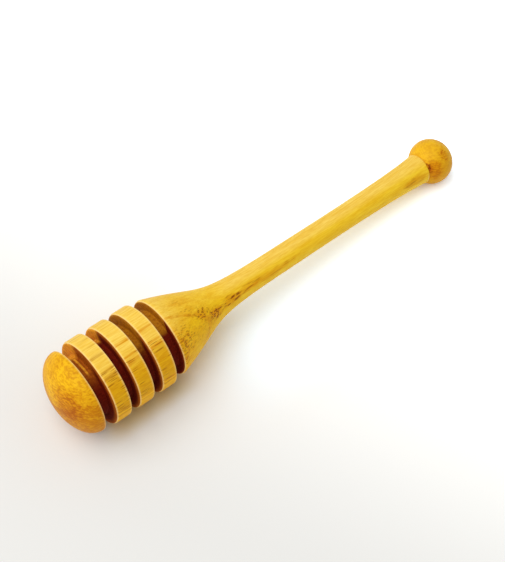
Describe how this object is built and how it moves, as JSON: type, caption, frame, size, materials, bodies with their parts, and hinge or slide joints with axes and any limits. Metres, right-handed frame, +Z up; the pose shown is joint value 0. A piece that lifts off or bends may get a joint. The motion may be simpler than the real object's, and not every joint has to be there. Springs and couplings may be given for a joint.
{
  "type": "honey dipper",
  "caption": "Turned wooden honey dipper lying on its side: a barrel head with deep round grooves, an ogee neck, a slim handle and a ball knob.",
  "frame": {"origin": "on the table, under the middle of the dipper's bounding box", "axes": "+X along the dipper from the domed tip to the knob, seen from above; +Z up. The turned axis falls 2.8 degrees below +X towards the knob, because the dipper lies on a rim of its head and on its knob"},
  "size_m": [0.16, 0.0278, 0.0286],
  "materials": {
    "body_wood": "satin, oiled",
    "knob_wood": "satin, oiled"
  },
  "bodies": {
    "root": {"dipper_body": "body_wood", "end_knob": "knob_wood"}
  },
  "joints": []
}
